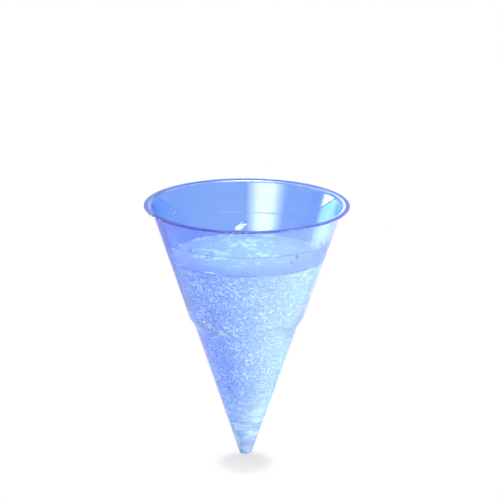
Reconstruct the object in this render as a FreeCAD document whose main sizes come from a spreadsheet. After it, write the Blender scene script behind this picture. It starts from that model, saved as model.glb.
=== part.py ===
import FreeCAD, Part
import Sketcher
import math
import os

# A disposable cone cup, moulded in thin tinted plastic, with a fizzy drink in it.
# The frame's origin is the middle of the small flat end, and +Z runs up the cone's axis to the mouth.
# There are two pieces: the cup, which is one moulding, and the drink that fills its lower part.

os.makedirs("parts", exist_ok=True)
doc = FreeCAD.newDocument("cone_cup")

# Driving sizes: millimetres, and degrees for the angle.
SIZES = [
    ("cup_height", 92.0, "from the flat end to the top of the rim"),
    ("cone_angle", 18.8, "between the wall and the axis"),
    ("wall", 0.45, "thickness of the conical wall"),
    ("end_radius", 2.05, "radius of the flat end, outside"),
    ("end_floor", 0.6, "thickness of the plastic across the flat end"),
    ("end_edge", 0.35, "rounding between the flat end and the wall"),
    ("shoulder_height", 51.1, "top of the stacking shoulder above the end"),
    ("shoulder_drop", 3.2, "height of the shoulder itself"),
    ("shoulder_step", 0.9, "how far the lower wall is set in, square to it"),
    ("shoulder_blend", 1.8, "rounding where the walls run into the shoulder"),
    ("flange_width", 2.4, "overhang of the flat rim outside the wall"),
    ("flange_thickness", 0.45, "thickness of the flat rim"),
    ("flange_edge", 0.18, "rounding of the rim's outer edges"),
    ("flange_root", 0.8, "bend under the rim, where it leaves the wall"),
    ("lip_edge", 1.25, "bend of the mouth's inner edge, round the same centre as the root"),
    ("fill_line_drop", 11.0, "from the top of the rim down to the fill line"),
    ("fill_line_radius", 0.25, "section radius of the bead that marks the fill line"),
    ("fill_line_relief", 0.07, "how far that bead stands in from the wall"),
    ("drink_level", 73.5, "surface of the drink above the end"),
]

sheet = doc.addObject("Spreadsheet::Sheet", "sizes")
for row, (alias, value, meaning) in enumerate(SIZES, start=1):
    sheet.set("A%d" % row, meaning)
    sheet.set("B%d" % row, str(value))
    sheet.setAlias("B%d" % row, alias)
doc.recompute()


def size(alias):
    """One size read back from the sheet, for a sketch's first guess and for finding edges."""
    return float(sheet.get(alias))


# Sketch shorthand: the origin, the upright axis, and the named points of a line or a circle.
ORIGIN = (-1, 1)
AXIS = -2
START, END, CENTRE = 1, 2, 3


def new_sketch(body, name):
    """A sketch on the body's own upright XZ plane, where x is the radius and y the height."""
    sketch = body.newObject("Sketcher::SketchObject", name)
    plane = [feature for feature in body.Origin.OriginFeatures if feature.Role == "XZ_Plane"][0]
    sketch.AttachmentSupport = [(plane, "")]
    sketch.MapMode = "FlatFace"
    return sketch


def draw_line(sketch, start, end):
    """A line between two (radius, height) points."""
    points = [FreeCAD.Vector(radius, height, 0) for radius, height in (start, end)]
    return sketch.addGeometry(Part.LineSegment(*points), False)


def join(sketch, first, second):
    """The end of one line is the start of the next."""
    sketch.addConstraint(Sketcher.Constraint("Coincident", first, END, second, START))


def dimension(sketch, kind, places, guess, expression):
    """A dimension tied to the sheet."""
    number = sketch.addConstraint(Sketcher.Constraint(kind, *places, guess))
    sketch.setExpression("Constraints[%d]" % number, expression)


def turn(body, kind, sketch, name):
    """Turns a sketch once round the axis: a Revolution adds, and a Groove cuts."""
    feature = body.newObject("PartDesign::" + kind, name)
    feature.Profile = sketch
    feature.ReferenceAxis = (sketch, ["V_Axis"])
    feature.Angle = 360.0
    body.Tip = feature
    doc.recompute()
    return feature


def round_rings(body, name, places, alias):
    """Rounds the circular edges that lie at the given (radius, height) places."""
    base = body.Tip
    names = []
    for radius, height in places:
        found = [
            "Edge%d" % number
            for number, edge in enumerate(base.Shape.Edges, start=1)
            if not edge.Degenerated
            and isinstance(edge.Curve, Part.Circle)
            and abs(edge.Curve.Radius - radius) < 0.01
            and abs(edge.Curve.Center.z - height) < 0.01
        ]
        if not found:
            raise RuntimeError("%s: no edge at radius %.2f, height %.2f" % (name, radius, height))
        names += found
    fillet = body.newObject("PartDesign::Fillet", name)
    fillet.Base = (base, names)
    fillet.setExpression("Radius", "sizes." + alias)
    body.Tip = fillet
    doc.recompute()


# ---------------------------------------------------------------- the wall's outline
# The outside, the hollow and the drink share one outline: a small flat end, the lower cone, the short
# cone of the shoulder, and the upper cone. Both long cones keep their distance from the origin, so an
# outline that is set in by the wall's thickness stays parallel to the outside.

def wall_radius(height, inset, step):
    """Radius at a height of a face set in from the outside, on the upper cone if step isn't nothing."""
    angle = math.radians(size("cone_angle"))
    return size("end_radius") + height * math.tan(angle) + (step - inset) / math.cos(angle)


def shoulder_rings(inset):
    """Where the shoulder's two edges lie on the outside (inset 0) or on the hollow."""
    high = size("shoulder_height")
    low = high - size("shoulder_drop")
    return [(wall_radius(low, inset, 0.0), low), (wall_radius(high, inset, size("shoulder_step")), high)]


def draw_wall(sketch, inset, floor, top):
    """Draws the outline from the axis up to height top, and returns its first and last lines.

    inset is the distance in from the outside, and floor the height of the outline's flat bottom.
    """
    angle = math.radians(size("cone_angle"))
    low_ring, high_ring = shoulder_rings(inset)
    corner = (wall_radius(floor, inset, 0.0), floor)
    bottom = draw_line(sketch, (0, floor), corner)
    lower = draw_line(sketch, corner, low_ring)
    shoulder = draw_line(sketch, low_ring, high_ring)
    upper = draw_line(sketch, high_ring, (wall_radius(top, inset, size("shoulder_step")), top))

    join(sketch, bottom, lower)
    join(sketch, lower, shoulder)
    join(sketch, shoulder, upper)
    sketch.addConstraint(Sketcher.Constraint("Horizontal", bottom))
    sketch.addConstraint(Sketcher.Constraint("Parallel", lower, upper))
    if floor:
        sketch.addConstraint(Sketcher.Constraint("PointOnObject", bottom, START, AXIS))
        dimension(sketch, "DistanceY", (*ORIGIN, bottom, START), floor, "sizes.end_floor")
    else:
        sketch.addConstraint(Sketcher.Constraint("Coincident", bottom, START, *ORIGIN))

    reach = size("end_radius") * math.cos(angle) - inset
    reach_rule = "sizes.end_radius * cos(sizes.cone_angle * 1 deg)" + (" - sizes.wall" if inset else "")
    dimension(sketch, "Distance", (*ORIGIN, lower), reach, reach_rule)
    dimension(sketch, "Distance", (*ORIGIN, upper), reach + size("shoulder_step"),
              reach_rule + " + sizes.shoulder_step")
    dimension(sketch, "Angle", (lower,), math.pi / 2 - angle, "90 deg - sizes.cone_angle * 1 deg")
    dimension(sketch, "DistanceY", (*ORIGIN, shoulder, END), high_ring[1], "sizes.shoulder_height")
    dimension(sketch, "DistanceY", (shoulder, START, shoulder, END), size("shoulder_drop"),
              "sizes.shoulder_drop")
    return bottom, upper


def end_ring(inset, floor):
    """Where the flat end's edge lies on the outside (inset 0) or on the hollow."""
    return (wall_radius(floor, inset, 0.0), floor)


def close_at(sketch, first, last, radius, height, alias):
    """Closes an outline with a flat top at a height named in the sheet, and with the axis."""
    top = draw_line(sketch, (radius, height), (0, height))
    middle = draw_line(sketch, (0, height), (0, 0))
    join(sketch, last, top)
    join(sketch, top, middle)
    join(sketch, middle, first)
    sketch.addConstraint(Sketcher.Constraint("Horizontal", top))
    sketch.addConstraint(Sketcher.Constraint("PointOnObject", top, END, AXIS))
    dimension(sketch, "DistanceY", (*ORIGIN, top, START), height, "sizes." + alias)


# ---------------------------------------------------------------- cup
# One injection moulding: a straight thin-walled cone with a small flat end, a small inward shoulder that
# keeps nested cups from jamming, a fine bead inside that marks the fill line, and a flat outward rim.

def make_cup():
    body = doc.addObject("PartDesign::Body", "cup")
    body.Label = "cup"
    step = size("shoulder_step")
    wall = size("wall")
    rim_top = size("cup_height")
    rim_under = rim_top - size("flange_thickness")
    wall_at_rim = wall_radius(rim_under, 0.0, step)
    rim_radius = wall_at_rim + size("flange_width")

    # The outside, with the flat rim on the end of the upper cone.
    outside = new_sketch(body, "outside")
    bottom, upper = draw_wall(outside, 0.0, 0.0, rim_under)
    under = draw_line(outside, (wall_at_rim, rim_under), (rim_radius, rim_under))
    edge = draw_line(outside, (rim_radius, rim_under), (rim_radius, rim_top))
    join(outside, upper, under)
    join(outside, under, edge)
    outside.addConstraint(Sketcher.Constraint("Horizontal", under))
    outside.addConstraint(Sketcher.Constraint("Vertical", edge))
    dimension(outside, "DistanceX", (under, START, under, END), size("flange_width"), "sizes.flange_width")
    dimension(outside, "DistanceY", (edge, START, edge, END), size("flange_thickness"),
              "sizes.flange_thickness")
    close_at(outside, bottom, edge, rim_radius, rim_top, "cup_height")
    turn(body, "Revolution", outside, "blank")
    blank_volume = body.Shape.Volume

    # The hollow, open at the mouth.
    hollow = new_sketch(body, "hollow")
    bottom, upper = draw_wall(hollow, wall, size("end_floor"), rim_top)
    close_at(hollow, bottom, upper, wall_radius(rim_top, wall, step), rim_top, "cup_height")
    turn(body, "Groove", hollow, "hollowed")
    if body.Shape.Volume > 0.2 * blank_volume:
        raise RuntimeError("the hollow cut nothing")

    # The bead of the fill line: a thin ring whose section is sunk into the wall.
    bead_height = rim_top - size("fill_line_drop")
    bead_sunk = size("fill_line_radius") - size("fill_line_relief")
    bead_centre = wall_radius(bead_height, wall - bead_sunk, step)
    fill_line = new_sketch(body, "fill_line")
    circle = Part.Circle(FreeCAD.Vector(bead_centre, bead_height, 0), FreeCAD.Vector(0, 0, 1),
                         size("fill_line_radius"))
    bead = fill_line.addGeometry(circle, False)
    dimension(fill_line, "Radius", (bead,), size("fill_line_radius"), "sizes.fill_line_radius")
    dimension(fill_line, "DistanceY", (*ORIGIN, bead, CENTRE), bead_height,
              "sizes.cup_height - sizes.fill_line_drop")
    dimension(fill_line, "DistanceX", (*ORIGIN, bead, CENTRE), bead_centre,
              "sizes.end_radius + (sizes.cup_height - sizes.fill_line_drop)"
              " * tan(sizes.cone_angle * 1 deg) + (sizes.shoulder_step - sizes.wall"
              " + sizes.fill_line_radius - sizes.fill_line_relief) / cos(sizes.cone_angle * 1 deg)")
    turn(body, "Revolution", fill_line, "fill_line_bead")

    # Moulded edges are rounded, inside and out.
    end_rings = [end_ring(0.0, 0.0), end_ring(wall, size("end_floor"))]
    round_rings(body, "end_rounding", end_rings, "end_edge")
    round_rings(body, "shoulder_rounding", shoulder_rings(0.0) + shoulder_rings(wall), "shoulder_blend")
    round_rings(body, "root_rounding", [(wall_at_rim, rim_under)], "flange_root")
    round_rings(body, "rim_rounding", [(rim_radius, rim_under), (rim_radius, rim_top)], "flange_edge")
    round_rings(body, "lip_rounding", [(wall_radius(rim_top, wall, step), rim_top)], "lip_edge")
    return body


# ---------------------------------------------------------------- drink
# The drink fills the hollow from its floor to its level, and touches the cup all the way up.

def make_drink():
    body = doc.addObject("PartDesign::Body", "drink")
    body.Label = "drink"
    level = size("drink_level")
    filling = new_sketch(body, "filling")
    bottom, upper = draw_wall(filling, size("wall"), size("end_floor"), level)
    surface_radius = wall_radius(level, size("wall"), size("shoulder_step"))
    close_at(filling, bottom, upper, surface_radius, level, "drink_level")
    turn(body, "Revolution", filling, "filled")
    round_rings(body, "end_rounding", [end_ring(size("wall"), size("end_floor"))], "end_edge")
    round_rings(body, "shoulder_rounding", shoulder_rings(size("wall")), "shoulder_blend")
    return body


bodies = [make_cup(), make_drink()]
doc.recompute()

for item in doc.Objects:
    if "Invalid" in item.State or "Error" in item.State:
        raise RuntimeError("%s failed: %s" % (item.Name, item.State))
for body in bodies:
    if body.Shape.isNull() or not body.Shape.isValid() or len(body.Shape.Solids) != 1:
        raise RuntimeError("%s isn't one valid solid" % body.Label)

for body in bodies:
    body.Shape.exportStep("parts/%s.step" % body.Label)
    box = body.Shape.optimalBoundingBox(False)
    print("%s: %.2f x %.2f x %.2f mm, %.0f cubic mm" % (
        body.Label, box.XLength, box.YLength, box.ZLength, body.Shape.Volume))
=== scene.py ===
import math
import random

import bpy
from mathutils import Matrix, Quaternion, Vector


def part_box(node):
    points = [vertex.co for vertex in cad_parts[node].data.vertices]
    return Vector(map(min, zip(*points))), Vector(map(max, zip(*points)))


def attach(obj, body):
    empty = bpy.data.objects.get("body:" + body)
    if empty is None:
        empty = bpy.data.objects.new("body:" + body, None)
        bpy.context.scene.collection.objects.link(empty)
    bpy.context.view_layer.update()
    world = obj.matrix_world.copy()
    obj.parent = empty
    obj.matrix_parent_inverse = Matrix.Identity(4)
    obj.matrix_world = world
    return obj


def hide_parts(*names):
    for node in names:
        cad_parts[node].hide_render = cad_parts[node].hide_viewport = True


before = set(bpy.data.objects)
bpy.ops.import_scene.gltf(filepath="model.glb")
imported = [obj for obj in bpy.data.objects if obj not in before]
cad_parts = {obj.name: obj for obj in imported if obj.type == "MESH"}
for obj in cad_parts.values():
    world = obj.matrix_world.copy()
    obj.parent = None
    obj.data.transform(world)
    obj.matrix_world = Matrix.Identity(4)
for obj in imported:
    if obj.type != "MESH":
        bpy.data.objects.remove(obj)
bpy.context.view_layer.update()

# A disposable cone cup, moulded in thin blue plastic, with a fizzy drink in it.
# The sections follow the object: the cup, the drink with its bubbles, the drops, then the studio.


# ---------------------------------------------------------------- cup
# The cup is one injection moulding in clear, blue-tinted polystyrene. Its small flat end, its two
# cones, shoulder, fill line and flat rim are the frame's own shape, so only the plastic is made here.

def linear(code):
    """An sRGB hex colour such as #7CA8F8 as linear red, green, blue and alpha."""
    parts = [int(code[i:i + 2], 16) / 255 for i in (1, 3, 5)]
    return [p / 12.92 if p <= 0.04045 else ((p + 0.055) / 1.055) ** 2.4 for p in parts] + [1.0]


def add_node(owner, kind, sockets=None, **options):
    """Adds a node with its options, and fills its inputs with values or with other nodes' outputs."""
    node = owner.node_tree.nodes.new(kind)
    for option, value in options.items():
        setattr(node, option, value)
    for socket, value in (sockets or {}).items():
        if isinstance(value, bpy.types.NodeSocket):
            owner.node_tree.links.new(value, node.inputs[socket])
        else:
            node.inputs[socket].default_value = value
    return node


def new_material(name):
    material = bpy.data.materials.new(name)
    material.use_nodes = True
    material.node_tree.nodes.clear()
    return material


# Polystyrene, injection moulded between polished faces: clear, glossy and water-blue by its thickness.
# The absorption leaves the blue below of white light after one crossing of the wall, a little aslant.
# The outer skin also has some satin in it, which catches the studio's light: a bloom of damp and fine
# fizz on the walls. Painted light is mixed into it too: a violet painted shade on the rim's edge and
# ends, a painted highlight streak on the right wall, and a whiter right side.
WALL = 0.00045
ONE_CROSSING = WALL * 1.05
DENSITY = 3800
through_wall = linear("#89B4FE")
tint_colour = [1 + math.log(share) / (ONE_CROSSING * DENSITY) for share in through_wall[:3]] + [1.0]

polystyrene = new_material("tinted_polystyrene")
plastic = add_node(polystyrene, "ShaderNodeBsdfPrincipled", {
    "Base Color": (1, 1, 1, 1), "Roughness": 0.03, "IOR": 1.59, "Transmission Weight": 1.0})
tint = add_node(polystyrene, "ShaderNodeVolumeAbsorption", {"Color": tint_colour, "Density": DENSITY})
place = add_node(polystyrene, "ShaderNodeTexCoord")
height = add_node(polystyrene, "ShaderNodeSeparateXYZ", {0: place.outputs["Object"]})

# The satin lies on the faces that look out from the axis. Round the rim's edge it is violet, a painted shade
# for the darker, deeper-tinted look of the edge.
RIM_FOOT = 0.0913
BRINK_RADIUS = 0.0351
across = add_node(polystyrene, "ShaderNodeVectorMath", {0: place.outputs["Object"], 1: (1, 1, 0)},
                  operation="MULTIPLY")
spoke = add_node(polystyrene, "ShaderNodeVectorMath", {0: across.outputs[0]}, operation="NORMALIZE")
face = add_node(polystyrene, "ShaderNodeNewGeometry")
facing = add_node(polystyrene, "ShaderNodeVectorMath", {0: face.outputs["Normal"], 1: spoke.outputs[0]},
                  operation="DOT_PRODUCT")
side = add_node(polystyrene, "ShaderNodeMath", {0: face.outputs["Backfacing"], 1: -2.0, 2: 1.0},
                operation="MULTIPLY_ADD")
outwards = add_node(polystyrene, "ShaderNodeMath", {0: facing.outputs["Value"], 1: side.outputs[0]},
                    operation="MULTIPLY")
outside = add_node(polystyrene, "ShaderNodeMath", {0: outwards.outputs[0], 1: 0.3}, operation="GREATER_THAN")
reach = add_node(polystyrene, "ShaderNodeVectorMath", {0: across.outputs[0]}, operation="LENGTH")
edge_shade_mask = add_node(polystyrene, "ShaderNodeMath", {0: reach.outputs["Value"], 1: BRINK_RADIUS},
                 operation="GREATER_THAN")
satin_and_edge_shade = add_node(polystyrene, "ShaderNodeMix", {
    "Factor": edge_shade_mask.outputs[0], "A": linear("#CFEDF6"), "B": linear("#6F62B4")}, data_type="RGBA")

# The flat top of the rim has some of it too, at its two sides and most at the right: painted shade that
# darkens the rim's ends.
rim = add_node(polystyrene, "ShaderNodeMath", {0: height.outputs["Z"], 1: RIM_FOOT}, operation="GREATER_THAN")
way_up = add_node(polystyrene, "ShaderNodeSeparateXYZ", {0: face.outputs["Normal"]})
level_top = add_node(polystyrene, "ShaderNodeMath", {0: way_up.outputs["Z"], 1: 0.9},
                     operation="GREATER_THAN")
bearing = add_node(polystyrene, "ShaderNodeSeparateXYZ", {0: spoke.outputs[0]})
to_right = add_node(polystyrene, "ShaderNodeMath", {0: bearing.outputs["X"], 1: 0.1}, operation="ADD")
sideways = add_node(polystyrene, "ShaderNodeMath", {0: to_right.outputs[0]}, operation="ABSOLUTE")
ends = add_node(polystyrene, "ShaderNodeMapRange", {
    "Value": sideways.outputs[0], "From Min": 0.82, "From Max": 1.1, "To Min": 0.0, "To Max": 0.4})
on_top = add_node(polystyrene, "ShaderNodeMath", {0: level_top.outputs[0], 1: rim.outputs[0]},
                  operation="MULTIPLY")
painted_rim_end_shade = add_node(polystyrene, "ShaderNodeMath", {0: on_top.outputs[0], 1: ends.outputs[0]},
                     operation="MULTIPLY")

# Fizz too fine to model whitens the wet part of the wall, in flecks under a millimetre across that lie
# in drifts and thin out near the end. Towards the right the flecks fade into an even whitening, which is
# painted light that makes that side brighter.
WET_UP_TO, DRY_FROM = 0.0728, 0.0736
stirred = add_node(polystyrene, "ShaderNodeTexNoise", {
    "Vector": place.outputs["Object"], "Scale": 900.0, "Detail": 1.0})
nudge = add_node(polystyrene, "ShaderNodeVectorMath", {
    0: stirred.outputs["Color"], 1: (0.0009, 0.0009, 0.0009), 2: place.outputs["Object"]},
    operation="MULTIPLY_ADD")
cells = add_node(polystyrene, "ShaderNodeTexVoronoi", {"Vector": nudge.outputs[0], "Scale": 1100.0})
fleck = add_node(polystyrene, "ShaderNodeMapRange", {
    "Value": cells.outputs["Distance"], "From Min": 0.2, "From Max": 0.75, "To Min": 1.0, "To Max": 0.0},
    interpolation_type="SMOOTHSTEP")
chance = add_node(polystyrene, "ShaderNodeSeparateColor", {0: cells.outputs["Color"]})
drift = add_node(polystyrene, "ShaderNodeTexNoise", {
    "Vector": place.outputs["Object"], "Scale": 110.0, "Detail": 2.0})
thick = add_node(polystyrene, "ShaderNodeMapRange", {
    "Value": drift.outputs["Fac"], "From Min": 0.36, "From Max": 0.62, "To Min": 0.35, "To Max": 1.0})
wet = add_node(polystyrene, "ShaderNodeMapRange", {
    "Value": height.outputs["Z"], "From Min": WET_UP_TO, "From Max": DRY_FROM, "To Min": 1.0, "To Max": 0.0})
deep = add_node(polystyrene, "ShaderNodeMapRange", {
    "Value": height.outputs["Z"], "From Min": 0.004, "From Max": 0.036, "To Min": 0.25, "To Max": 1.0})
flecks_fade_right = add_node(polystyrene, "ShaderNodeMapRange", {
    "Value": bearing.outputs["X"], "From Min": -0.5, "From Max": 0.5, "To Min": 1.0, "To Max": 0.38},
    interpolation_type="SMOOTHSTEP")
painted_right_light = add_node(polystyrene, "ShaderNodeMapRange", {
    "Value": bearing.outputs["X"], "From Min": -0.6, "From Max": 0.5, "To Min": 0.0, "To Max": 0.08},
    interpolation_type="SMOOTHSTEP")
fizz = fleck.outputs[0]
for share in (chance.outputs["Red"], thick.outputs[0], wet.outputs[0], deep.outputs[0], flecks_fade_right.outputs[0]):
    fizz = add_node(polystyrene, "ShaderNodeMath", {0: fizz, 1: share}, operation="MULTIPLY").outputs[0]

# The even haze behind the flecks: thicker near the end, where slanting bright and dark streaks in it are
# painted reflections, and thinner above the drink.
gate = add_node(polystyrene, "ShaderNodeMapRange", {
    "Value": height.outputs["Z"], "From Min": 0.003, "From Max": 0.026, "To Min": 0.57, "To Max": 0.17})
drawn = add_node(polystyrene, "ShaderNodeMapping", {
    0: place.outputs["Object"], "Rotation": (0.3, math.radians(28), 0), "Scale": (0.6, 0.6, 2.2)})
streak_noise = add_node(polystyrene, "ShaderNodeTexNoise", {
    "Vector": drawn.outputs[0], "Scale": 230.0, "Detail": 1.0, "Distortion": 1.0})
painted_end_streaks = add_node(polystyrene, "ShaderNodeMapRange", {
    "Value": streak_noise.outputs["Fac"], "From Min": 0.36, "From Max": 0.64, "To Min": 0.74, "To Max": 1.35},
    interpolation_type="SMOOTHSTEP")
near_end = add_node(polystyrene, "ShaderNodeMapRange", {
    "Value": height.outputs["Z"], "From Min": 0.014, "From Max": 0.03, "To Min": 1.0, "To Max": 0.0})
haze_with_end_streaks = add_node(polystyrene, "ShaderNodeMix", {
    "Factor": near_end.outputs[0], "A": 1.0, "B": painted_end_streaks.outputs[0]})
dry = add_node(polystyrene, "ShaderNodeMapRange", {
    "Value": height.outputs["Z"], "From Min": WET_UP_TO, "From Max": DRY_FROM, "To Min": 1.0, "To Max": 0.92})
even = add_node(polystyrene, "ShaderNodeMath", {0: gate.outputs[0], 1: dry.outputs[0]}, operation="MULTIPLY")
haze = add_node(polystyrene, "ShaderNodeMath", {0: even.outputs[0], 1: haze_with_end_streaks.outputs[0]},
                operation="MULTIPLY")
# The even haze gains a little painted light on the wet wall's right side.
hazy = add_node(polystyrene, "ShaderNodeMath", {0: painted_right_light.outputs[0], 1: wet.outputs[0], 2: haze.outputs[0]},
                operation="MULTIPLY_ADD")

# A whitening on the dry wall at the right, under the rim, is a painted highlight for the bright streak down
# that wall.
streak_side = add_node(polystyrene, "ShaderNodeMapRange", {
    "Value": bearing.outputs["X"], "From Min": 0.66, "From Max": 0.84, "To Min": 0.0, "To Max": 0.27},
    interpolation_type="SMOOTHSTEP")
streak_height = add_node(polystyrene, "ShaderNodeMapRange", {
    "Value": height.outputs["Z"], "From Min": 0.079, "From Max": 0.085, "To Min": 0.0, "To Max": 1.0},
    interpolation_type="SMOOTHSTEP")
haze_and_painted_streak = add_node(polystyrene, "ShaderNodeMath", {
    0: streak_side.outputs[0], 1: streak_height.outputs[0], 2: hazy.outputs[0]}, operation="MULTIPLY_ADD")
white_share = add_node(polystyrene, "ShaderNodeMath", {0: fizz, 1: 0.62, 2: haze_and_painted_streak.outputs[0]},
                       operation="MULTIPLY_ADD")

# Both fade where the wall turns away, so that the outline stays crisp.
glance = add_node(polystyrene, "ShaderNodeLayerWeight", {"Blend": 0.5})
head_on = add_node(polystyrene, "ShaderNodeMapRange", {
    "Value": glance.outputs["Facing"], "From Min": 0.45, "From Max": 0.95, "To Min": 1.0, "To Max": 0.2})
showing = add_node(polystyrene, "ShaderNodeMath", {0: outside.outputs[0], 1: head_on.outputs[0]},
                   operation="MULTIPLY")
satin_share = add_node(polystyrene, "ShaderNodeMath", {
    0: showing.outputs[0], 1: white_share.outputs[0], 2: painted_rim_end_shade.outputs[0]},
    operation="MULTIPLY_ADD")
lit_in_front = add_node(polystyrene, "ShaderNodeBsdfDiffuse", {"Color": satin_and_edge_shade.outputs["Result"]})
lit_behind = add_node(polystyrene, "ShaderNodeBsdfTranslucent", {"Color": satin_and_edge_shade.outputs["Result"]})
satin = add_node(polystyrene, "ShaderNodeMixShader", {
    0: 0.25, 1: lit_in_front.outputs[0], 2: lit_behind.outputs[0]})
surface = add_node(polystyrene, "ShaderNodeMixShader", {
    0: satin_share.outputs[0], 1: plastic.outputs[0], 2: satin.outputs[0]})
add_node(polystyrene, "ShaderNodeOutputMaterial", {"Surface": surface.outputs[0], "Volume": tint.outputs[0]})

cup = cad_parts["cup"]
cup.data.materials.clear()
cup.data.materials.append(polystyrene)


# ---------------------------------------------------------------- drink
# Sparkling water, poured to 18.5 mm below the rim. It wets the wall, climbs it a little at its edge,
# and its surface is still choppy where it was poured. Its side lies inside the wall's thickness, so
# that no film of air shows between the two.

bottom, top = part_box("drink")
LEVEL = top.z
POURED = Vector((-0.004, 0.006, 0.0735))

# The cup's hollow, which the drink fills: its cone, and the shoulder that sets the upper wall out.
CONE_ANGLE = math.radians(18.8)
END_RADIUS = 0.00205
SHOULDER_FOOT = 0.0479
SHOULDER_DROP = 0.0032
SHOULDER_STEP = 0.0009


def hollow_radius(height, inset=0.0):
    """Radius of the cup's hollow at a height, less an inset square to the wall."""
    step = SHOULDER_STEP * min(max((height - SHOULDER_FOOT) / SHOULDER_DROP, 0.0), 1.0)
    return END_RADIUS + height * math.tan(CONE_ANGLE) + (step - WALL - inset) / math.cos(CONE_ANGLE)


def turned(name, rings, segments=128):
    """A closed solid of revolution: a disc at the first ring, extruded and resized to each next one."""
    bpy.ops.object.select_all(action="DESELECT")
    radius, height = rings[0]
    bpy.ops.mesh.primitive_circle_add(
        vertices=segments, radius=radius, location=(0, 0, height), fill_type="NGON", enter_editmode=True)
    piece = bpy.context.object
    piece.name = name
    bpy.ops.mesh.select_all(action="SELECT")
    for next_radius, next_height in rings[1:]:
        bpy.ops.mesh.extrude_region_move(TRANSFORM_OT_translate={"value": (0, 0, next_height - height)})
        growth = next_radius / radius
        bpy.ops.transform.resize(value=(growth, growth, 1), center_override=(0, 0, next_height))
        radius, height = next_radius, next_height
    bpy.ops.mesh.select_all(action="SELECT")
    bpy.ops.mesh.normals_make_consistent(inside=False)
    bpy.ops.object.mode_set(mode="OBJECT")
    bpy.ops.object.transform_apply(location=True, rotation=True, scale=True)
    return piece


# Its outline, ring by ring: the small end, the cones and the shoulder, then the curl where it climbs the
# wall, and last the level surface, which falls a hair towards the middle so that no two rings are level.
SUNK = 0.0002
rings = [(0.0012, bottom.z - SUNK), (hollow_radius(bottom.z, -SUNK), bottom.z + 0.0003)]
for height in (0.004, 0.01, 0.02, 0.03, 0.04, 0.0474, 0.0484, 0.0506, 0.0516, 0.06, 0.07):
    rings.append((hollow_radius(height, -SUNK), height))
edge_height = LEVEL + 0.00035
edge_radius = hollow_radius(edge_height, -SUNK)
rings.append((edge_radius, edge_height))
curl = ((0.0003, 0.00018), (0.0006, 0.0003), (0.001, 0.0004), (0.0015, 0.00046), (0.0021, 0.00048))
for back, fall in curl:
    rings.append((edge_radius - back, edge_height - fall))
level_radius, level_height = rings[-1]
SURFACE_RINGS = 40
for ring in range(1, SURFACE_RINGS):
    rings.append((level_radius * (1 - ring / SURFACE_RINGS), level_height - 0.0000001 * ring))
drink = turned("fizzy_drink", rings)

# The surface: low swells all over, and a short chop round the place where it was poured.
CHOP_REACH = 0.019
swell = drink.vertex_groups.new(name="swell")
chop = drink.vertex_groups.new(name="chop")
for vertex in drink.data.vertices:
    reach = vertex.co.xy.length
    if vertex.co.z < level_height - 0.0001 or reach > level_radius + 0.0001:
        continue
    shore = min((level_radius - reach) / 0.004, 1.0)
    swell.add([vertex.index], shore, "REPLACE")
    away = (vertex.co.xy - POURED.xy).length
    chop.add([vertex.index], shore * max(0.0, 1 - (away / CHOP_REACH) ** 2), "REPLACE")
# Both are called by name, because applying the first puts new vertex groups in place of the old ones.
for group, wave, strength in (("swell", 0.011, 0.0007), ("chop", 0.0034, 0.0034)):
    pattern = bpy.data.textures.new(group, "CLOUDS")
    pattern.noise_scale = wave
    pattern.noise_depth = 1
    waves = drink.modifiers.new(group, "DISPLACE")
    waves.texture = pattern
    waves.texture_coords = "LOCAL"
    waves.direction = "Z"
    waves.mid_level = 0.5
    waves.strength = strength
    waves.vertex_group = group
    bpy.ops.object.modifier_apply(modifier=group)
bpy.ops.object.shade_smooth_by_angle(angle=math.radians(35))

# Water: clear and colourless, with a mirror-smooth skin.
water = new_material("sparkling_water")
liquid = add_node(water, "ShaderNodeBsdfPrincipled", {
    "Base Color": (1, 1, 1, 1), "Roughness": 0.0, "IOR": 1.333, "Transmission Weight": 1.0})
add_node(water, "ShaderNodeOutputMaterial", {"Surface": liquid.outputs[0]})
drink.data.materials.append(water)

# Froth: a thin film of fine white bubbles that floats on the water, in flecks that lie thickest where it
# was poured and along the wall.
froth = new_material("froth")
under = add_node(froth, "ShaderNodeBsdfPrincipled", {
    "Base Color": (1, 1, 1, 1), "Roughness": 0.0, "IOR": 1.333, "Transmission Weight": 1.0})
place = add_node(froth, "ShaderNodeTexCoord")
cells = add_node(froth, "ShaderNodeTexNoise", {
    "Vector": place.outputs["Object"], "Scale": 200.0, "Detail": 3.0, "Roughness": 0.62, "Distortion": 0.9})
fleck = add_node(froth, "ShaderNodeMapRange", {
    "Value": cells.outputs["Fac"], "From Min": 0.54, "From Max": 0.6, "To Min": 0.0, "To Max": 1.0},
    interpolation_type="SMOOTHSTEP")
poured = add_node(froth, "ShaderNodeMapping", {0: place.outputs["Object"], "Location": -POURED})
away = add_node(froth, "ShaderNodeVectorMath", {0: poured.outputs[0]}, operation="LENGTH")
near = add_node(froth, "ShaderNodeMapRange", {
    "Value": away.outputs["Value"], "From Min": 0.008, "From Max": 0.026, "To Min": 1.0, "To Max": 0.0},
    interpolation_type="SMOOTHSTEP")
flat = add_node(froth, "ShaderNodeVectorMath", {0: place.outputs["Object"], 1: (1, 1, 0)},
                operation="MULTIPLY")
reach = add_node(froth, "ShaderNodeVectorMath", {0: flat.outputs[0]}, operation="LENGTH")
shore = add_node(froth, "ShaderNodeMapRange", {
    "Value": reach.outputs["Value"], "From Min": level_radius + 0.0006, "From Max": level_radius + 0.0014,
    "To Min": 0.0, "To Max": 1.0})
gathered = add_node(froth, "ShaderNodeMath", {0: near.outputs[0], 1: shore.outputs[0]}, operation="MAXIMUM")
cover = add_node(froth, "ShaderNodeMath", {0: fleck.outputs[0], 1: gathered.outputs[0]},
                 operation="MULTIPLY")
skin = add_node(froth, "ShaderNodeMapRange", {
    "Value": away.outputs["Value"], "From Min": 0.014, "From Max": 0.034, "To Min": 0.42, "To Max": 0.2},
    interpolation_type="SMOOTHSTEP")
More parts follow.
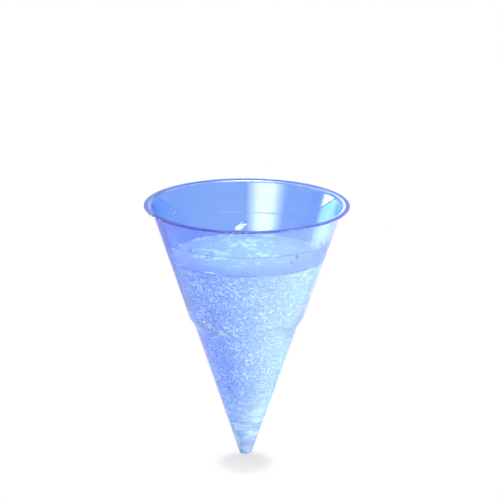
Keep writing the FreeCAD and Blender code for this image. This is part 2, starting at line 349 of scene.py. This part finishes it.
film = add_node(froth, "ShaderNodeMath", {0: cover.outputs[0], 1: 1.0, 2: skin.outputs[0]},
                operation="MULTIPLY_ADD", use_clamp=True)
lit_above = add_node(froth, "ShaderNodeBsdfDiffuse", {"Color": linear("#FAF4FF")})
lit_below = add_node(froth, "ShaderNodeBsdfTranslucent", {"Color": linear("#FAF4FF")})
foam = add_node(froth, "ShaderNodeMixShader", {0: 0.4, 1: lit_above.outputs[0], 2: lit_below.outputs[0]})
surface = add_node(froth, "ShaderNodeMixShader", {
    0: film.outputs[0], 1: under.outputs[0], 2: foam.outputs[0]})
add_node(froth, "ShaderNodeOutputMaterial", {"Surface": surface.outputs[0]})
drink.data.materials.append(froth)
for face in drink.data.polygons:
    if face.center.z > LEVEL - 0.003 and face.normal.z > 0.3:
        face.material_index = 1

# Its bubbles are cavities in the water, so their faces look inwards. They cling to the wall, thickly
# near the surface and thinly near the end.
rng = random.Random(11)
bpy.ops.object.select_all(action="DESELECT")
bpy.ops.mesh.primitive_uv_sphere_add(segments=8, ring_count=5, radius=1.0, enter_editmode=True)
bpy.ops.mesh.flip_normals()
bpy.ops.object.mode_set(mode="OBJECT")
bpy.ops.object.shade_smooth()
bubble = bpy.context.object
bubble.data.materials.append(water)
BUBBLES = 2000
LOWEST, HIGHEST = 0.008, LEVEL - 0.0012
CROWDING = 0.62


def cling(height, angle, size):
    """A copy of the bubble, of that radius, held a hair off the wall at a height and an angle."""
    copy = bubble.copy()
    copy.data = bubble.data.copy()
    radius = hollow_radius(height, size * 1.03 + 0.00002)
    copy.location = (radius * math.cos(angle), radius * math.sin(angle), height)
    copy.scale = (size, size, size)
    bpy.context.collection.objects.link(copy)
    return copy


def join_into(piece, parts):
    """Joins loose parts into a piece."""
    bpy.ops.object.select_all(action="DESELECT")
    for part in parts:
        part.select_set(True)
    piece.select_set(True)
    bpy.context.view_layer.objects.active = piece
    bpy.ops.object.join()


bubbles = []
for number in range(BUBBLES):
    height = LOWEST + (HIGHEST - LOWEST) * rng.random() ** CROWDING
    size = rng.uniform(0.00030, 0.00048) if rng.random() < 0.75 else rng.uniform(0.00045, 0.0007)
    bubbles.append(cling(height, rng.uniform(0, 2 * math.pi), size))
# Bigger ones low down, each with its height, its angle and its radius.
for height, angle, size in ((0.0062, -100, 0.0009), (0.0088, -60, 0.0012), (0.0105, -125, 0.001),
                            (0.0135, -95, 0.0013), (0.0165, -135, 0.0011), (0.019, -70, 0.001),
                            (0.0235, -110, 0.0012), (0.028, -140, 0.001)):
    bubbles.append(cling(height, math.radians(angle), size))
bpy.data.objects.remove(bubble)
join_into(drink, bubbles)
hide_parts("drink")
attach(drink, "root")


# ---------------------------------------------------------------- drops
# Splashes of the drink on the dry wall above it: flattened drops of the same water, three of them tinted
# navy as painted shade, with dabs of froth behind and at the waterline, those at the waterline standing
# in as painted highlights. They stick to the wall, so each is sunk a little into it.

# Froth thick enough to hide what is behind it: soft, matt and white. At the waterline its dabs are painted
# highlights, standing in for the meniscus's bright glint.
froth_and_painted_glint = new_material("froth_and_painted_glint")
fine_foam = add_node(froth_and_painted_glint, "ShaderNodeBsdfPrincipled", {
    "Base Color": linear("#FCFCFF"), "Roughness": 0.35, "Subsurface Weight": 0.3})
add_node(froth_and_painted_glint, "ShaderNodeOutputMaterial", {"Surface": fine_foam.outputs[0]})

# A drop whose water is tinted navy: painted shade for the dark reflection of the room's unlit side that such
# a drop shows.
painted_shade_drop = new_material("painted_shade_drop")
navy_painted_water = add_node(painted_shade_drop, "ShaderNodeBsdfPrincipled", {
    "Base Color": linear("#1E2C70"), "Roughness": 0.0, "IOR": 1.333, "Transmission Weight": 1.0})
add_node(painted_shade_drop, "ShaderNodeOutputMaterial", {"Surface": navy_painted_water.outputs[0]})

FLATTENING = 0.85
BITE = 0.00015
drops = []
# For each: its angle round the cup, its height, how far it leans, half its length and half its breadth,
# and what it is.
for angle, height, lean, length, breadth, material in (
        (-29.5, 0.0834, 20, 0.0025, 0.0013, water), (-32.0, 0.0833, 26, 0.002, 0.00042, painted_shade_drop),
        (-53.4, 0.0799, 8, 0.001, 0.0005, painted_shade_drop), (-57.1, 0.0778, 0, 0.0005, 0.0004, painted_shade_drop),
        (-64, 0.0812, 0, 0.00065, 0.00035, water), (-118, 0.0805, 0, 0.0008, 0.0004, water),
        (-131, 0.0822, 0, 0.0012, 0.0006, water), (-151, 0.0842, 0, 0.0009, 0.0005, water),
        (12, 0.0815, 0, 0.001, 0.00055, water), (38, 0.0862, 0, 0.0008, 0.0004, water),
        (148, 0.0853, 0, 0.0012, 0.0006, water), (171, 0.0831, 0, 0.0008, 0.0004, water),
        (94, 0.077, 68, 0.0021, 0.0011, water), (95, 0.0761, 70, 0.0018, 0.001, froth_and_painted_glint),
        # The three dabs at the waterline are painted highlights for the meniscus's glint.
        (-121, 0.0735, 92, 0.0013, 0.0006, froth_and_painted_glint), (-116.5, 0.0734, 89, 0.0016, 0.0007, froth_and_painted_glint),
        (-112, 0.0734, 91, 0.0012, 0.0005, froth_and_painted_glint)):
    bpy.ops.object.select_all(action="DESELECT")
    bpy.ops.mesh.primitive_uv_sphere_add(segments=24, ring_count=14, radius=1.0)
    drop = bpy.context.object
    drop.scale = (breadth * FLATTENING, breadth, length)
    drop.rotation_euler = (math.radians(lean), CONE_ANGLE, math.radians(angle))
    radius = hollow_radius(height, breadth * FLATTENING - BITE)
    drop.location = (radius * math.cos(math.radians(angle)), radius * math.sin(math.radians(angle)), height)
    bpy.ops.object.transform_apply(location=True, rotation=True, scale=True)
    bpy.ops.object.shade_smooth()
    drop.data.materials.append(material)
    drops.append(drop)
splashes = drops[0]
join_into(splashes, drops[1:])
splashes.name = "splashes"
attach(splashes, "root")


# ---------------------------------------------------------------- floor
# A sheet of plain white card under the cup. Seen straight, in glass or in a mirror it is plain white,
# apart from a painted soft shadow round the cup's end: an oval where the matt grey card shows through,
# with its real shadow. The light that it throws on the cup comes off matt grey.

bpy.ops.object.select_all(action="DESELECT")
bpy.ops.mesh.primitive_plane_add(size=0.2, location=(0, 0, 0))
floor = bpy.context.object
floor.name = "floor"
card = new_material("white_card")
place = add_node(card, "ShaderNodeTexCoord")
centred = add_node(card, "ShaderNodeMapping", {
    0: place.outputs["Object"], "Location": (0, 0.0086, 0), "Scale": (1, 0.72, 1)})
away = add_node(card, "ShaderNodeVectorMath", {0: centred.outputs[0]}, operation="LENGTH")
painted_shadow = add_node(card, "ShaderNodeMapRange", {
    "Value": away.outputs["Value"], "From Min": 0.005, "From Max": 0.013, "To Min": 0.42, "To Max": 0.0},
    interpolation_type="SMOOTHERSTEP")
path = add_node(card, "ShaderNodeLightPath")
glass_too = add_node(card, "ShaderNodeMath", {
    0: path.outputs["Is Camera Ray"], 1: path.outputs["Is Transmission Ray"]}, operation="MAXIMUM")
mirror_too = add_node(card, "ShaderNodeMath", {
    0: glass_too.outputs[0], 1: path.outputs["Is Glossy Ray"]}, operation="MAXIMUM")
plain = add_node(card, "ShaderNodeMath", {0: mirror_too.outputs[0], 1: painted_shadow.outputs[0]},
                 operation="SUBTRACT", use_clamp=True)
matte = add_node(card, "ShaderNodeBsdfDiffuse", {"Color": linear("#A6A8AA")})
white = add_node(card, "ShaderNodeEmission", {"Color": (1, 1, 1, 1), "Strength": 1.0})
both = add_node(card, "ShaderNodeMixShader", {0: plain.outputs[0], 1: matte.outputs[0], 2: white.outputs[0]})
add_node(card, "ShaderNodeOutputMaterial", {"Surface": both.outputs[0]})
floor.data.materials.append(card)


# ---------------------------------------------------------------- light
# A studio with a white wall behind the cup and a dimmer room round the camera. Its soft-edged windows
# stand in for softboxes: the mouth mirrors the first three as streaks, and the overhead one lights the
# froth. A wide low one on the right whitens the fizz on the wall. It stays out of what glass shows, so
# that the cup doesn't burn out against it from behind. The last is a dark flag, which outlines the left
# edge of the cup.

studio = bpy.data.worlds.new("studio")
bpy.context.scene.world = studio
studio.use_nodes = True
studio.node_tree.nodes.clear()
ray = add_node(studio, "ShaderNodeTexCoord")
axes = add_node(studio, "ShaderNodeSeparateXYZ", {0: ray.outputs["Generated"]})
left = add_node(studio, "ShaderNodeMath", {0: axes.outputs["X"], 1: -1.0}, operation="MULTIPLY")
azimuth = add_node(studio, "ShaderNodeMath", {0: left.outputs[0], 1: axes.outputs["Y"]}, operation="ARCTAN2")
elevation = add_node(studio, "ShaderNodeMath", {0: axes.outputs["Z"]}, operation="ARCSINE")
behind = add_node(studio, "ShaderNodeMapRange", {
    "Value": axes.outputs["Y"], "From Min": -0.6, "From Max": 0.3, "To Min": 0.0, "To Max": 0.55},
    interpolation_type="SMOOTHSTEP")
low = add_node(studio, "ShaderNodeMapRange", {
    "Value": axes.outputs["Z"], "From Min": 0.0, "From Max": 0.2, "To Min": 1.0, "To Max": 0.0},
    interpolation_type="SMOOTHSTEP")
sweep = add_node(studio, "ShaderNodeMath", {0: behind.outputs[0], 1: low.outputs[0], 2: 0.45},
                 operation="MULTIPLY_ADD")
path = add_node(studio, "ShaderNodeLightPath")
not_in_glass = add_node(studio, "ShaderNodeMath", {0: 1.0, 1: path.outputs["Is Transmission Ray"]},
                        operation="SUBTRACT")
total = sweep.outputs[0]
# For each: its middle, left from straight behind, and its width; the same upwards from the horizon; the
# breadth of its soft edge, all in degrees; how bright it is; and whether glass shows it.
for centre, wide, height, tall, soft, radiance, through_glass in (
        (155, 34, 22, 20, 26, 12.0, True),
        (60, 17, 1, 11, 14, 36.0, True),
        (45, 20, -1, 7, 9, 14.0, True),
        (70, 90, -3, 18, 14, 1.3, True),
        (0, 400, 90, 36, 10, 20.5, True),
        (0, 400, 75, 70, 24, 0.5, True),
        (5, 130, 52, 34, 16, 2.5, True),
        (-115, 50, -6, 22, 12, 27.5, False),
        (26, 36, -42, 44, 8, -0.4, True)):
    shares = []
    for angle, middle, width in ((azimuth, centre, wide), (elevation, height, tall)):
        off = add_node(studio, "ShaderNodeMath", {0: angle.outputs[0], 1: math.radians(middle)},
                       operation="SUBTRACT")
        apart = add_node(studio, "ShaderNodeMath", {0: off.outputs[0]}, operation="ABSOLUTE")
        share = add_node(studio, "ShaderNodeMapRange", {
            "Value": apart.outputs[0], "From Min": math.radians((width - soft) / 2),
            "From Max": math.radians((width + soft) / 2), "To Min": 1.0, "To Max": 0.0},
            interpolation_type="SMOOTHSTEP")
        shares.append(share.outputs[0])
    window = add_node(studio, "ShaderNodeMath", {0: shares[0], 1: shares[1]}, operation="MULTIPLY")
    if not through_glass:
        window = add_node(studio, "ShaderNodeMath", {0: window.outputs[0], 1: not_in_glass.outputs[0]},
                          operation="MULTIPLY")
    total = add_node(studio, "ShaderNodeMath", {0: window.outputs[0], 1: radiance, 2: total},
                     operation="MULTIPLY_ADD").outputs[0]
level = add_node(studio, "ShaderNodeMix", {"Factor": path.outputs["Is Camera Ray"], "A": total, "B": 1.0})
glow = add_node(studio, "ShaderNodeBackground", {"Color": (1, 1, 1, 1), "Strength": level.outputs[0]})
add_node(studio, "ShaderNodeOutputWorld", {"Surface": glow.outputs[0]})


# ---------------------------------------------------------------- camera
# A long lens, two metres from the cup and about 17 degrees above its middle. It is aimed at the level
# of the drink, and turned by a third of a degree.

lens = bpy.data.cameras.new("camera")
lens.lens = 403.6
lens.sensor_width = 36
camera = bpy.data.objects.new("camera", lens)
bpy.context.collection.objects.link(camera)
camera.location = (0, -1.9169, 0.6164)
view = Vector((0.0012, 0, 0.0754)) - camera.location
aim = view.to_track_quat("-Z", "Y")
camera.rotation_euler = (aim @ Quaternion((0, 0, 1), math.radians(0.3))).to_euler()
bpy.context.scene.camera = camera
bpy.context.scene.view_settings.view_transform = "Standard"
bpy.context.scene.cycles.max_bounces = 32
bpy.context.scene.cycles.transmission_bounces = 32
bpy.context.scene.cycles.glossy_bounces = 12
